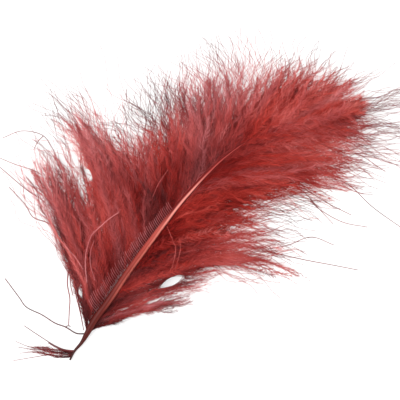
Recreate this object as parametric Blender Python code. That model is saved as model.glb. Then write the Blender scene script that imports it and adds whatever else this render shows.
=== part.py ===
"""A marabou feather lying on a flat surface: an arched quill with tapering locks of down fused along both sides.

Units are metres, +Z is up, and the surface is z = 0. The origin is on the surface, under the quill's tip where
the folded brush of down leaves it. +X runs along the plume, from the quill's tip to the far tips of the down,
and +Y points to the fuller side.
"""

import math
import random

import bmesh
import bpy
import numpy as np

MM = 0.001

# The plan tables below are in millimetres from the quill's tip, on the feather as it lies slanting up to the
# right. The model turns them back by this angle, so that the plume runs along +X, about this point.
LIE_DEG = 38.0
ORIGIN_MM = (1.2, 2.5)

# The quill: plan x, plan y, height of its middle, radius. It arches over the surface and bends to the right.
QUILL_MM = [
    (0.0, 0.0, 0.60, 0.35),
    (1.5, 3.0, 0.75, 0.45),
    (3.9, 5.8, 1.10, 0.60),
    (5.8, 9.0, 1.70, 0.95),
    (8.6, 13.8, 2.60, 1.25),
    (13.1, 20.1, 3.90, 1.25),
    (20.8, 31.4, 5.90, 1.15),
    (29.7, 43.3, 7.40, 1.00),
    (39.3, 55.3, 8.00, 0.86),
    (51.3, 67.3, 7.50, 0.52),
    (62.7, 74.6, 6.40, 0.35),
    (76.0, 78.2, 5.10, 0.30),
    (90.0, 81.5, 3.80, 0.28),
]
QUILL_STATIONS = 36
QUILL_SIDES = 8

# Guide barbs, from the quill's base to its end: distance of the root along the quill, direction in which the
# barb leaves, plan x and y of its tip, and direction in which it arrives there. Directions are degrees, from
# the plan's +x towards its +y.
FULL_SIDE = [
    (11.5, 100, -14.7, 65.0, 115),
    (15.5, 102, -11.0, 69.3, 112),
    (20.8, 100, -8.3, 78.3, 118),
    (26.5, 100, -8.0, 89.3, 128),
    (34.5, 99, -4.3, 90.7, 132),
    (41.5, 97, 2.7, 85.0, 135),
    (46.0, 95, 14.0, 77.3, 140),
    (50.0, 92, 16.0, 87.3, 130),
    (55.5, 88, 20.7, 93.3, 122),
    (62.0, 83, 28.3, 98.0, 112),
    (68.5, 76, 37.3, 101.7, 106),
    (74.5, 68, 47.3, 104.3, 100),
    (80.5, 60, 58.7, 107.3, 98),
    (86.5, 54, 70.0, 104.0, 80),
    (93.0, 48, 81.7, 102.7, 62),
    (99.5, 42, 93.3, 98.0, 38),
    (107.0, 34, 104.7, 94.0, 16),
    (115.0, 25, 113.3, 89.3, 6),
    (124.0, 15, 116.7, 85.7, 2),
]
LEAN_SIDE = [
    (22.5, 34, 72.3, 27.7, -28),
    (33.0, 34, 73.3, 36.7, -8),
    (42.0, 34, 76.7, 44.0, -5),
    (50.0, 34, 80.7, 51.7, -4),
    (57.0, 34, 88.3, 56.0, -6),
    (64.5, 33, 96.7, 59.3, -5),
    (71.5, 32, 103.3, 62.7, -4),
    (78.0, 30, 108.7, 67.3, -6),
    (84.0, 27, 113.3, 71.7, -8),
    (91.0, 24, 116.0, 76.7, -7),
    (99.5, 20, 117.3, 80.7, -4),
    (113.0, 14, 117.3, 84.0, -1),
]
# The separate clump below the lean side, with a gap between their tips.
LOW_CLUMP = [
    (12.0, 20, 40.0, 20.5, 14),
    (16.5, 28, 48.0, 26.3, 12),
    (21.5, 33, 50.7, 29.3, 4),
]
# The flat brush of down that has folded back beside the quill's tip.
BRUSH = [
    (1.0, 190, -14.3, 3.4, 176),
    (2.6, 178, -14.0, 5.0, 170),
    (4.4, 172, -9.0, 7.6, 150),
]
# Single long barbs that stray from the vanes, in the same terms.
STRAYS = [
    (10.5, 178, -21.7, 27.0, 125),
    (50.0, 95, -23.0, 68.0, 165),
    (36.0, 10, 93.3, 30.0, -14),
    (64.5, 5, 110.0, 45.0, -40),
]

# Each vane has a lower layer of locks, which settles on the surface at this share of its length, and an upper
# layer of shorter locks. The layers give the share of the barbs' length that they reach, their height over the
# surface, the range of shares of their length at which the locks part, how far their roots run across the quill's
# middle, how far below it their undersides start, and how many guides they leave free at each end of the vane.
# No two of these are alike, so that the layers cross each other instead of touching.
SETTLE = 0.55
SETTLE_HEIGHT = {"full": 0.0, "lean": 0.08 * MM, "clump": 0.16 * MM, "brush": 0.0}
STRAY_HEIGHT = 0.25 * MM
LOWER = {"reach": 1.0, "lift": 0.0, "part": (0.45, 0.72), "cross": 0.35 * MM, "below": 0.75 * MM, "inset": 0.0}
UPPER = {"reach": 0.7, "lift": 4.0 * MM, "part": (0.35, 0.55), "cross": 0.45 * MM, "below": 0.6 * MM, "inset": 0.1}
LOCKS = {"full": (26, 10), "lean": (17, 7), "clump": (6, 2), "brush": (3, 0)}
LOCK_STATIONS = 8
UNEVEN = 0.22
ROOT_THICKNESS = 1.3 * MM
TIP_THICKNESS = 0.45 * MM
RIDGE = 0.8 * MM
TIP_HALF_WIDTH = 0.35 * MM
STRAY_HALF_WIDTH = 0.5 * MM
TINY = 1e-9
# The exact solver loses nearly all of the solid where the vanes' thin edges cross the quill, so it isn't used.
SOLVER = "MANIFOLD"
SEED = 10

DOWN_COLOUR = (0.40, 0.075, 0.065, 1.0)
DOWN_ROUGHNESS = 0.8


def smooth_row(rows, at):
    """The row at a place among rows of numbers, counted from 0, on a smooth curve through them all."""
    last = len(rows) - 1
    at = min(max(at, 0.0), float(last))
    k = min(int(at), last - 1)
    f = at - k
    before, here = rows[max(k - 1, 0)], rows[k]
    there, after = rows[k + 1], rows[min(k + 2, last)]
    slope_here = (there - before) / (2 if k > 0 else 1)
    slope_there = (after - here) / (2 if k + 2 <= last else 1)
    f2 = f * f
    f3 = f2 * f
    return (
        (2 * f3 - 3 * f2 + 1) * here
        + (f3 - 2 * f2 + f) * slope_here
        + (3 * f2 - 2 * f3) * there
        + (f3 - f2) * slope_there
    )


def ease(f):
    """0 before 0, 1 after 1, and smooth between."""
    f = min(max(f, 0.0), 1.0)
    return f * f * (3 - 2 * f)


def turned(x, y):
    """A plan point in the feather's own frame."""
    a = math.radians(-LIE_DEG)
    x -= ORIGIN_MM[0] * MM
    y -= ORIGIN_MM[1] * MM
    return np.array((x * math.cos(a) - y * math.sin(a), x * math.sin(a) + y * math.cos(a)))


class Quill:
    """The quill's middle line: where it is, how thick, and which way it runs, at any distance from its tip."""

    def __init__(self):
        self.rows = np.array(QUILL_MM) * MM
        self.rows[:, :2] = [turned(x, y) for x, y in self.rows[:, :2]]
        steps = np.linalg.norm(np.diff(self.rows[:, :2], axis=0), axis=1)
        self.reached = np.concatenate(([0.0], np.cumsum(steps)))
        self.length = self.reached[-1]

    def at(self, distance):
        """(x, y, z, radius) at a distance along the quill."""
        return smooth_row(self.rows, np.interp(distance, self.reached, np.arange(len(self.reached))))

    def way(self, distance):
        """Unit vector along the quill, in the plan."""
        step = 0.5 * MM
        d = self.at(distance + step)[:2] - self.at(distance - step)[:2]
        return d / np.linalg.norm(d)


def barb_row(guides, place):
    """Root distance, leaving direction, tip and arriving direction of the barb at a place among the guides."""
    root, leave, x, y, arrive = smooth_row(np.array(guides, float), place)
    return root * MM, math.radians(leave - LIE_DEG), turned(x * MM, y * MM), math.radians(arrive - LIE_DEG)


def barb_point(quill, guides, place, along, across):
    """Plan point at a share of the way along the barb, on a cubic curve from its root to its tip.

    across is how far the root lies to the quill's left.
    """
    root, leave, tip, arrive = barb_row(guides, place)
    way = quill.way(root)
    start = quill.at(root)[:2] + across * np.array((-way[1], way[0]))
    third = np.linalg.norm(tip - start) / 3
    first = start + third * np.array((math.cos(leave), math.sin(leave)))
    second = tip - third * np.array((math.cos(arrive), math.sin(arrive)))
    b = 1 - along
    return b**3 * start + 3 * b * b * along * first + 3 * b * along * along * second + along**3 * tip


def closed_sheet(top, bottom, faces):
    """A closed mesh from a sheet's top faces, the same faces below, and walls round its open edges."""
    count = len(top)
    every = [tuple(f) for f in faces] + [tuple(i + count for i in reversed(f)) for f in faces]
    used = {}
    for face in faces:
        for a, b in zip(face, face[1:] + face[:1]):
            used[(a, b)] = True
    for a, b in used:
        if (b, a) not in used:
            every.append((b, a, a + count, b + count))
    mesh = bpy.data.meshes.new("sheet")
    mesh.from_pydata([tuple(p) for p in top] + [tuple(p) for p in bottom], [], every)
    bm = bmesh.new()
    bm.from_mesh(mesh)
    bmesh.ops.delete(bm, geom=[v for v in bm.verts if not v.link_faces], context="VERTS")
    bmesh.ops.recalc_face_normals(bm, faces=bm.faces)
    bm.to_mesh(mesh)
    bm.free()
    return mesh


def lock_sheet(quill, guides, side, locks, layer, floor, rng):
    """One layer of a vane: locks that are joined near the quill and part into pointed tips further out.

    side is 1 to the quill's left and -1 to its right, and floor is the height at which the lowest locks settle.
    """
    span = len(guides) - 1 - 2 * layer["inset"]
    across = -side * layer["cross"]
    inner = [i + rng.uniform(-UNEVEN, UNEVEN) for i in range(1, locks)]
    places = [layer["inset"] + span * i / locks for i in [0] + inner + [locks]]
    parts = [0] + [rng.uniform(*layer["part"]) for _ in inner] + [0]
    reaches = [layer["reach"] * rng.uniform(0.93, 1.02) for _ in range(locks)]
    top, bottom, index = [], [], {}

    def vertex(key, plan, along, root_z, ridge):
        if key not in index:
            settled = ease(along / SETTLE)
            lift = layer["lift"] * math.sin(math.pi * min(along, 0.85))
            low = root_z * (1 - settled) + floor * settled + lift
            thick = ROOT_THICKNESS + (TIP_THICKNESS - ROOT_THICKNESS) * along
            index[key] = len(top)
            top.append((plan[0], plan[1], low + thick + ridge * math.sin(math.pi * (0.15 + 0.85 * along))))
            bottom.append((plan[0], plan[1], low))
        return index[key]

    faces = []
    for lock in range(locks):
        rows = []
        for j in range(LOCK_STATIONS + 1):
            share = j / LOCK_STATIONS
            along = reaches[lock] * share
            middle_place = (places[lock] + places[lock + 1]) / 2
            middle = barb_point(quill, guides, middle_place, along, across)
            root_z = max(quill.at(barb_row(guides, middle_place)[0])[2] - layer["below"], 0.0)
            row = []
            for edge in (lock, lock + 1):
                outer = edge in (0, locks)
                parted = outer or share > parts[edge]
                along_edge = along if parted else layer["reach"] * share
                plan = barb_point(quill, guides, places[edge], along_edge, across)
                if parted:
                    closing = ease((share - parts[edge]) / (1 - parts[edge])) ** 0.8
                    half = plan - middle
                    tip_half = half / max(np.linalg.norm(half), TINY) * TIP_HALF_WIDTH
                    plan = middle + half * (1 - closing) + tip_half * closing
                key = (edge, j, lock) if parted else (edge, j)
                row.append(vertex(key, plan, along_edge, root_z, 0.0))
            centre = vertex(("middle", lock, j), middle, along, root_z, RIDGE)
            rows.append((row[0], centre, row[1]))
        for near, far in zip(rows, rows[1:]):
            faces.append([near[0], near[1], far[1], far[0]])
            faces.append([near[1], near[2], far[2], far[1]])
    return closed_sheet(top, bottom, faces)


def stray_mesh(quill, row):
    """One long thin barb, lying on the surface once it has left the vane."""
    guides = [row, row]
    top, bottom, faces = [], [], []
    stations = 2 * LOCK_STATIONS
    for j in range(stations + 1):
        along = j / stations
        here = barb_point(quill, guides, 0, along, 0)
        ahead = barb_point(quill, guides, 0, min(along + 0.01, 1.0), 0)
        back = barb_point(quill, guides, 0, max(along - 0.01, 0.0), 0)
        way = (ahead - back) / np.linalg.norm(ahead - back)
        across = np.array((-way[1], way[0])) * STRAY_HALF_WIDTH * (1 - 0.5 * along)
        root_z = quill.at(row[0] * MM)[2] - 0.3 * MM
        settled = ease(along / SETTLE)
        low = root_z * (1 - settled) + STRAY_HEIGHT * settled
        for plan in (here + across, here - across):
            top.append((plan[0], plan[1], low + 2 * STRAY_HALF_WIDTH * (1 - 0.5 * along)))
            bottom.append((plan[0], plan[1], low))
    for j in range(stations):
        faces.append([2 * j, 2 * j + 1, 2 * j + 3, 2 * j + 2])
    return closed_sheet(top, bottom, faces)


def quill_mesh(quill):
    """The quill as a tapering round tube with closed ends."""
    bm = bmesh.new()
    rings = []
    for j in range(QUILL_STATIONS + 1):
        distance = quill.length * j / QUILL_STATIONS
        x, y, z, radius = quill.at(distance)
        way = quill.way(distance)
        ring = []
        for k in range(QUILL_SIDES):
            a = 2 * math.pi * (k + 0.5) / QUILL_SIDES
            aside = radius * math.cos(a)
            ring.append(bm.verts.new((x - way[1] * aside, y + way[0] * aside, z + radius * math.sin(a))))
        rings.append(ring)
    for near, far in zip(rings, rings[1:]):
        for k in range(QUILL_SIDES):
            n = (k + 1) % QUILL_SIDES
            bm.faces.new((near[k], near[n], far[n], far[k]))
    bm.faces.new(rings[0])
    bm.faces.new(rings[-1])
    bmesh.ops.recalc_face_normals(bm, faces=bm.faces)
    mesh = bpy.data.meshes.new("quill")
    bm.to_mesh(mesh)
    bm.free()
    return mesh


def placed(name, mesh):
    obj = bpy.data.objects.new(name, mesh)
    bpy.context.scene.collection.objects.link(obj)
    return obj


def fused(obj, helpers):
    """The object's mesh once every helper is joined to it."""
    for helper in helpers:
        join = obj.modifiers.new(f"fuse_{helper.name}", "BOOLEAN")
        join.operation = "UNION"
        join.solver = SOLVER
        join.object = helper
    mesh = bpy.data.meshes.new_from_object(obj.evaluated_get(bpy.context.evaluated_depsgraph_get()))
    obj.modifiers.clear()
    for helper in helpers:
        bpy.data.objects.remove(helper)
    return mesh


def fill_pockets(mesh):
    """Delete every skin but the outer one, so that pockets sealed between the layers become solid."""
    bm = bmesh.new()
    bm.from_mesh(mesh)
    skins, seen = [], set()
    for first in bm.verts:
        if first in seen:
            continue
        skin, waiting = [], [first]
        seen.add(first)
        while waiting:
            vertex = waiting.pop()
            skin.append(vertex)
            for edge in vertex.link_edges:
                other = edge.other_vert(vertex)
                if other not in seen:
                    seen.add(other)
                    waiting.append(other)
        skins.append(skin)
    outer = max(skins, key=len)
    bmesh.ops.delete(bm, geom=[v for skin in skins if skin is not outer for v in skin], context="VERTS")
    bm.to_mesh(mesh)
    bm.free()


def down_material():
    """Dyed down: matt, warm brick red."""
    material = bpy.data.materials.new("dyed_down")
    material.use_nodes = True
    shader = material.node_tree.nodes["Principled BSDF"]
    shader.inputs["Base Color"].default_value = DOWN_COLOUR
    shader.inputs["Roughness"].default_value = DOWN_ROUGHNESS
    shader.inputs["Metallic"].default_value = 0.0
    return material


def main():
    for old in list(bpy.data.objects):
        bpy.data.objects.remove(old)
    rng = random.Random(SEED)
    quill = Quill()
    feather = placed("feather", quill_mesh(quill))
    feather.data.materials.append(down_material())
    vanes = {"full": (FULL_SIDE, 1), "lean": (LEAN_SIDE, -1), "clump": (LOW_CLUMP, -1), "brush": (BRUSH, 1)}
    helpers = []
    for name, (guides, side) in vanes.items():
        for layer, locks in zip((LOWER, UPPER), LOCKS[name]):
            if locks:
                sheet = lock_sheet(quill, guides, side, locks, layer, SETTLE_HEIGHT[name], rng)
                helpers.append((name, sheet))
    helpers += [("stray", stray_mesh(quill, row)) for row in STRAYS]
    helpers = [placed(f"{name}_{number}", mesh) for number, (name, mesh) in enumerate(helpers)]
    feather.data = fused(feather, helpers)
    fill_pockets(feather.data)


main()
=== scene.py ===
"""A dyed marabou feather on a pale table, seen from straight above: a glossy quill and its downy barbs.

Lengths in the plan tables are millimetres from the quill's tip, on the feather as it lies slanting up to
the right. plan_point() turns them into the model's own frame, where the plume runs along +X.
"""

import math

import bpy
import numpy as np
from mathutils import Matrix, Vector


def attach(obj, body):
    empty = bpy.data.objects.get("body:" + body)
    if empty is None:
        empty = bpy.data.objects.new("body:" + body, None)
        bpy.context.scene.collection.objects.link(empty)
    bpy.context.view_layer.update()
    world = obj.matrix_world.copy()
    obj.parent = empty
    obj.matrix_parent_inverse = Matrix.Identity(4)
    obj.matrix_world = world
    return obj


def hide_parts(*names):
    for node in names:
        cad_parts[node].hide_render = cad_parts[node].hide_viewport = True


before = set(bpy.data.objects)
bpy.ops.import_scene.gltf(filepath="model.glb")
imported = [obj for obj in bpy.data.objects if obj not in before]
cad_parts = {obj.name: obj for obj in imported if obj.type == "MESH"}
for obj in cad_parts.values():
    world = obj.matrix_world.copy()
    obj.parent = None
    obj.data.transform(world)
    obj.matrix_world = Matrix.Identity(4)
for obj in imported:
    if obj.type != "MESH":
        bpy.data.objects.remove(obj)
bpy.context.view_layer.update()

MM = 0.001
SEED = 7
BODY = "root"
NODE = "feather"

# How the feather lies, and the point of the plan that is the model's origin.
LIE = math.radians(38.0)
ORIGIN_MM = (1.2, 2.5)

# The quill: plan x, plan y, height of its middle, radius.
QUILL_MM = np.array([
    (0.0, 0.0, 0.60, 0.30),
    (1.5, 3.0, 0.75, 0.42),
    (3.9, 5.8, 1.10, 0.60),
    (5.8, 9.0, 1.70, 0.95),
    (8.6, 13.8, 2.60, 1.22),
    (13.1, 20.1, 3.90, 1.24),
    (20.8, 31.4, 5.90, 1.15),
    (29.7, 43.3, 7.40, 1.02),
    (39.3, 55.3, 8.00, 0.86),
    (51.3, 67.3, 7.50, 0.48),
    (62.7, 74.6, 6.40, 0.24),
    (76.0, 78.2, 5.10, 0.15),
    (90.0, 81.5, 3.80, 0.10),
])

# Guide barbs: root along the quill, leaving direction, tip x, tip y, arriving direction (in degrees in the
# plan), the share of its length over which the down is thick, its tone, its share of mauve and how much
# paler its tip is. Tones run from about -2, deepest, to 2, palest. Mauve runs from 0, brick red, to 1,
# dusty mauve.
FULL_SIDE = np.array([
    (11.5, 100, -14.7, 65.0, 115, 0.88, -1.0, 1.00, 1.1),
    (15.5, 102, -11.0, 69.3, 112, 0.88, -0.4, 0.85, 0.7),
    (20.8, 100, -8.3, 78.3, 118, 0.75, 0.2, 0.50, 0.5),
    (26.5, 100, -8.0, 89.3, 134, 0.76, 0.5, 0.50, 0.9),
    (34.5, 99, -4.7, 90.0, 141, 0.75, 0.6, 0.60, 1.8),
    (41.5, 97, 1.7, 83.7, 145, 0.78, 0.4, 0.60, 2.0),
    (46.0, 95, 13.3, 76.0, 148, 0.80, -0.2, 0.50, 1.3),
    (50.0, 92, 16.0, 87.3, 130, 0.62, -0.7, 0.35, 1.6),
    (55.5, 88, 20.7, 93.3, 122, 0.59, -0.9, 0.35, 1.7),
    (62.0, 83, 28.3, 98.0, 112, 0.63, -0.7, 0.45, 1.6),
    (68.5, 76, 37.3, 101.7, 106, 0.72, 0.5, 0.65, 1.1),
    (74.5, 68, 47.3, 104.3, 100, 0.72, 0.8, 0.65, 0.9),
    (80.5, 60, 58.7, 107.3, 98, 0.68, 0.9, 0.55, 0.8),
    (86.5, 54, 70.0, 104.0, 80, 0.73, 0.5, 0.40, 0.7),
    (93.0, 48, 81.7, 102.7, 62, 0.76, 0.5, 0.28, 0.6),
    (99.5, 42, 93.3, 98.0, 38, 0.76, 0.5, 0.24, 0.6),
    (107.0, 34, 104.7, 94.0, 16, 0.64, 0.5, 0.20, 0.6),
    (115.0, 25, 113.3, 89.3, 6, 0.50, 0.5, 0.20, 0.5),
    (124.0, 15, 116.7, 85.7, 2, 0.40, 0.5, 0.20, 0.4),
])
LEAN_SIDE = np.array([
    (22.5, 33, 73.2, 26.3, -30, 1.00, -0.8, 0.30, 1.6),
    (33.0, 34, 73.3, 36.7, -8, 0.82, -0.9, 0.18, 1.5),
    (42.0, 34, 76.7, 44.0, -5, 0.67, -0.9, 0.10, 1.4),
    (50.0, 34, 80.7, 51.7, -4, 0.68, -1.0, 0.00, 1.2),
    (57.0, 34, 88.3, 56.0, -6, 0.72, -0.4, 0.00, 1.0),
    (64.5, 33, 96.7, 59.3, -5, 0.83, 0.2, 0.00, 0.8),
    (71.5, 32, 103.3, 62.7, -4, 0.76, 0.3, 0.05, 0.8),
    (78.0, 30, 108.7, 67.3, -6, 0.68, 0.4, 0.10, 0.8),
    (84.0, 27, 113.3, 71.7, -8, 0.68, 0.5, 0.15, 0.7),
    (91.0, 24, 116.0, 76.7, -7, 0.64, 0.5, 0.20, 0.6),
    (99.5, 20, 117.3, 80.7, -4, 0.58, 0.5, 0.20, 0.5),
    (113.0, 14, 117.3, 84.0, -1, 0.44, 0.5, 0.20, 0.4),
])
LOW_CLUMP = np.array([
    (12.0, 20, 40.0, 20.5, 14, 1.00, -1.7, 0.80, 1.4),
    (16.5, 28, 48.0, 26.3, 12, 1.00, -1.5, 0.65, 2.0),
    (21.5, 33, 53.7, 30.8, 4, 1.00, -1.4, 0.50, 2.0),
])
BRUSH = np.array([
    (1.0, 190, -14.3, 2.6, 176, 0.94, -1.6, 0.95, 0.0),
    (2.2, 180, -14.3, 4.2, 172, 0.94, -1.3, 0.90, 0.0),
    (3.2, 176, -13.6, 4.8, 168, 0.80, -1.3, 0.90, 0.0),
])
ROOT, LEAVE, TIP_X, TIP_Y, ARRIVE, THICK, TONE, MAUVE, TIP_TONE = range(9)

# Gaps in the down: middle x and y, half length, half width, direction of its length in degrees.
GAPS_MM = [
    (34.0, 26.3, 4.8, 1.3, 28),
    (3.7, 23.2, 2.6, 0.7, 80),
    (-2.8, 68.3, 3.5, 0.9, 112),
    (1.7, 66.8, 2.2, 0.8, 120),
    (6.2, 62.2, 2.9, 0.9, 126),
]

# One hair in so many runs across the gaps instead of round them. The others leave them open almost to
# their edge.
CROSSING_EVERY = 4
OPEN_SHARE = 0.9

# Single strands that leave the down or lie over it: plan points, height, thickness, barbule length or 0,
# tone, mauve.
STRANDS = [
    ([(5.2, 8.8), (2.2, 8.9), (-0.4, 10.4), (-1.9, 11.2), (-5.1, 12.4), (-9.3, 15.1), (-14.4, 17.6),
      (-17.0, 21.0), (-21.6, 27.2)], 1.0, 0.34, 0.0, -2.2, 1.0),
    ([(-1.6, 10.9), (-0.6, 11.5), (0.2, 11.2)], 1.0, 0.26, 0.0, -2.0, 1.0),
    ([(1.5, 34.5), (-0.4, 29.5), (-0.8, 25.3), (0.0, 20.6), (-0.2, 16.3), (-0.4, 11.7)],
     1.4, 0.34, 0.5, -0.9, 1.0),
    ([(2.2, 33.0), (0.4, 29.0), (0.2, 25.6), (1.0, 21.6)], 1.3, 0.26, 0.6, -0.9, 1.0),
    ([(2.6, 30.0), (1.6, 26.0), (2.2, 21.0), (3.4, 16.0), (4.2, 12.0)], 1.2, 0.24, 0.6, -1.2, 1.0),
    ([(3.4, 28.0), (2.4, 24.0), (3.0, 19.0), (3.9, 14.0), (4.6, 10.0)], 1.2, 0.30, 0.6, -1.2, 1.0),
    ([(1.8, 3.4), (0.9, 3.2), (-2.1, 3.6), (-4.7, 4.7), (-6.8, 5.9), (-11.0, 8.6), (-15.3, 11.5)],
     0.8, 0.26, 0.0, -1.6, 1.0),
    ([(1.4, 3.0), (-2.1, 3.3), (-4.7, 4.3), (-7.3, 5.8)], 0.7, 0.36, 0.4, -1.2, 1.0),
    ([(-7.0, 4.2), (-13.3, 4.4), (-18.2, 6.3)], 0.6, 0.18, 0.0, -1.6, 1.0),
    ([(-7.0, 3.6), (-13.3, 3.7), (-17.6, 4.4)], 0.6, 0.18, 0.0, -1.6, 1.0),
    ([(-5.0, 2.6), (-12.0, 2.7), (-16.7, 2.3)], 0.6, 0.18, 0.0, -1.6, 1.0),
    ([(-6.0, 2.0), (-12.0, 1.0), (-18.9, -0.2)], 0.6, 0.18, 0.0, -1.6, 1.0),
    ([(16.6, 49.3), (13.2, 47.0), (10.3, 44.4), (7.7, 41.9), (6.4, 38.5), (5.6, 34.6), (5.6, 29.5),
      (6.0, 26.1)], 9.2, 0.24, 1.6, 1.6, 0.8),
    ([(8.4, 40.0), (7.2, 36.0), (7.4, 31.0), (8.6, 27.0)], 9.2, 0.14, 1.2, 1.4, 0.8),
    ([(-1.7, 38.9), (0.5, 36.3), (3.0, 33.3), (4.7, 30.4)], 9.0, 0.16, 1.2, 1.5, 0.8),
    ([(32.4, 44.8), (34.1, 40.6), (35.3, 36.8), (34.1, 30.8)], 9.2, 0.10, 0.8, 0.7, 0.3),
    ([(36.4, 41.0), (36.9, 37.6), (36.2, 34.0), (35.0, 30.6)], 9.0, 0.10, 0.8, 0.5, 0.3),
    ([(27.7, 54.3), (29.6, 58.6), (32.7, 63.3)], 9.4, 0.12, 0.8, 1.2, 0.5),
    ([(65.3, 32.2), (67.2, 34.3), (67.1, 36.6), (66.3, 38.1)], 2.5, 0.12, 0.7, -0.6, 0.4),
    ([(62.7, 34.0), (66.3, 34.8), (70.9, 35.5)], 2.5, 0.12, 0.9, 0.9, 0.5),
    ([(-1.5, 58.5), (-3.8, 65.5), (-6.0, 71.0), (-9.3, 75.0), (-16.0, 76.3), (-22.3, 74.0)],
     2.0, 0.22, 0.2, -1.5, 0.9),
    ([(-8.7, 74.7), (-10.6, 72.8), (-12.0, 70.0)], 2.0, 0.22, 0.2, -1.3, 0.8),
    ([(-9.0, 61.5), (-12.3, 63.3), (-17.7, 65.0), (-23.3, 67.3)], 1.5, 0.22, 0.3, -1.3, 0.8),
    ([(-11.0, 54.5), (-14.7, 57.0), (-20.3, 61.7), (-23.3, 64.3)], 1.5, 0.25, 0.4, -1.3, 0.8),
    ([(-5.0, 44.5), (-8.0, 46.0), (-12.3, 47.7), (-15.0, 52.0), (-20.3, 57.7)], 1.5, 0.28, 0.5, -1.3, 0.8),
    ([(88.0, 60.5), (93.3, 58.0), (100.7, 51.0), (110.0, 44.3)], 2.5, 0.22, 0.3, -1.6, 0.6),
    ([(72.0, 58.5), (78.0, 57.0), (86.3, 52.0), (93.7, 48.3)], 2.0, 0.22, 0.3, -1.3, 0.6),
    ([(74.0, 58.5), (78.7, 55.3), (83.0, 50.3), (87.7, 45.3)], 1.8, 0.20, 0.3, -1.3, 0.6),
    ([(80.0, 53.5), (83.0, 50.3), (90.7, 46.0), (99.0, 44.3)], 1.8, 0.20, 0.3, -1.3, 0.6),
    ([(64.0, 36.5), (71.0, 35.0), (78.7, 33.3), (87.3, 31.7), (96.0, 30.0)], 1.2, 0.22, 0.3, -1.3, 0.6),
    ([(66.0, 37.0), (72.7, 38.3), (80.3, 41.0), (88.0, 38.3)], 1.2, 0.20, 0.2, -1.3, 0.6),
    ([(84.0, 65.5), (89.3, 65.0), (94.0, 68.3), (97.0, 68.0), (105.0, 62.7)], 3.0, 0.19, 0.3, -1.3, 0.6),
]

# Stem radii at the root and at the tip, in millimetres. A strand's are shares of its thickness.
BARB_RADIUS = (0.080, 0.022)
HAIR_RADIUS = (0.045, 0.062)
COMB_RADIUS = (0.14, 0.09)
STRAND_TAPER = (0.75, 0.5)

# Points along each stem and round it.
STATIONS = 18
STRAND_STATIONS = 40
COMB_STATIONS = 8
QUILL_STATIONS = 120
STEM_SIDES = 3
QUILL_SIDES = 16
QUILL_FLATNESS = 0.85

# How high and how low the fibres go, in millimetres.
TOP = 10.1
STEM_HEADROOM = 0.5
STEM_LOWEST = 0.15
STRAND_LOWEST = 0.10
BLADE_MIDDLE_LOWEST, BLADE_TIP_LOWEST = 0.08, 0.05

# Runs: where something starts to change and how long the change takes, as shares of the way along a barb.
# The fringe's is counted from the end of the thick down.
WAVE_RUN = (0.0, 0.35)
PULL_RUN = (0.12, 0.6)
STRAY_RUN = (0.5, 0.5)
SETTLE_RUN = (0.1, 0.9)
RISE_RUN = (0.0, 0.32)
SPRING_RUN = (0.0, 0.1)
FRINGE_RUN = (0.0, 0.22)
EDGE_RUN = (0.45, 0.55)
SHADE_RUN = (0.0, 0.42)
TAPER_RUN = (0.6, 0.4)
COMB_RISE_RUN = (0.0, 0.7)
# These two are in millimetres: the shade's along the quill, and the barbules' swelling along their barb.
SHADE_END_RUN = (80.0, 30.0)
SWELL_RUN = (-1.0, 7.0)

# How barbs gather: unevenness of their roots, their strands' places within a lock, how much more or less
# each is pulled, and the locks' own lengths.
ROOT_JITTER = 0.3
STRAND_SHIFT = 0.35
PULLS = (0.7, 1.2)
LOCK_REACH = (0.93, 1.05)

# Sway to the side, as a share of a layer's, and the power of the way along a barb that it grows with.
LOCK_SWAY = (1.0, 1.5)
STRAND_SWAY = (0.8, 1.7)
BARB_SWAY = (0.35, 1.8)
# Few barbs stray far: how even that is, the farthest, and the power that it grows with.
STRAY_FREEDOM = 4
STRAY_MOST = 2.5
STRAY_POWER = 1.5

# Waves: the shares of their two sines, the strands' as a share of a layer's, the height's in millimetres,
# and how many there are along a barb.
WAVE_SHARES = (0.65, 0.35)
STRAND_WANDER = 1.2
HEIGHT_WANDER = 0.45
STRAND_PITCHES = (1.0, 3.0)
BARB_PITCHES = (1.5, 4.5)
HEIGHT_PITCHES = (1.0, 4.0)
# A single strand's height, as a share of it.
LONE_WANDER = 0.15
LONE_PITCHES = (1.0, 2.0)

# A barb's level between the surface and the top is in part its strand's and in part its own.
STRAND_LEVEL, BARB_LEVEL = 0.65, 0.35
LEAST_LEVEL = 0.02
# A barb's root, in radii of the quill: below its middle and out to its side.
ROOT_BELOW, ROOT_OUT = 0.15, 0.8

# Tones: how they differ, how the upper barbs are paler and the roots darker, and the hairs' own tone.
LOCK_TONES, STRAND_TONES, BARB_TONES, BLADE_TONES = 0.2925, 0.45, 0.225, 0.3
LEVEL_TONE, LEVEL_MIDDLE = 1.1, 0.6
ROOT_DARK = 1.5
HAIR_TONE, HAIR_TONE_SHARE = -1.3, 0.8
STEM_PALER, BLADE_TIP_PALER = 0.25, 0.35
# Mauve: how it differs, its share at the root, and how much more there is at the edge and beyond it.
STRAND_MAUVES, BARB_MAUVES = 0.16, 0.08
ROOT_MAUVE, EDGE_MAUVE, HAIR_MAUVE = 0.7, 0.5, 0.5

# Barbules: unevenness of their places, the last place, the share that hairs lack, and the bare stem.
BLADE_JITTER = 0.4
LAST_BLADE = 0.995
HAIR_LACKS = 0.75
BARE_LENGTHS = (0.5, 1.5)
# Their length: the least, what the tip and the hairs take off, and how it differs.
BLADE_LEAST = 0.12
TIP_SHORTER, HAIR_SHORTER = 0.5, 0.8
BLADE_LENGTHS = (0.55, 1.25)
# Their direction: the widest angle in degrees, how it differs and how the outer half turns back, the roll
# round the barb, the outer half's rise, and how far a blade turns from facing up.
WIDEST_ANGLE = 58.0
BLADE_ANGLES = (0.7, 1.3)
BLADE_BENDS = (0.3, 0.75)
BARB_ROLL, BLADE_ROLL = 0.35, 0.55
BLADE_RISE = (-0.05, 0.18)
BLADE_TURN = 0.7
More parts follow.
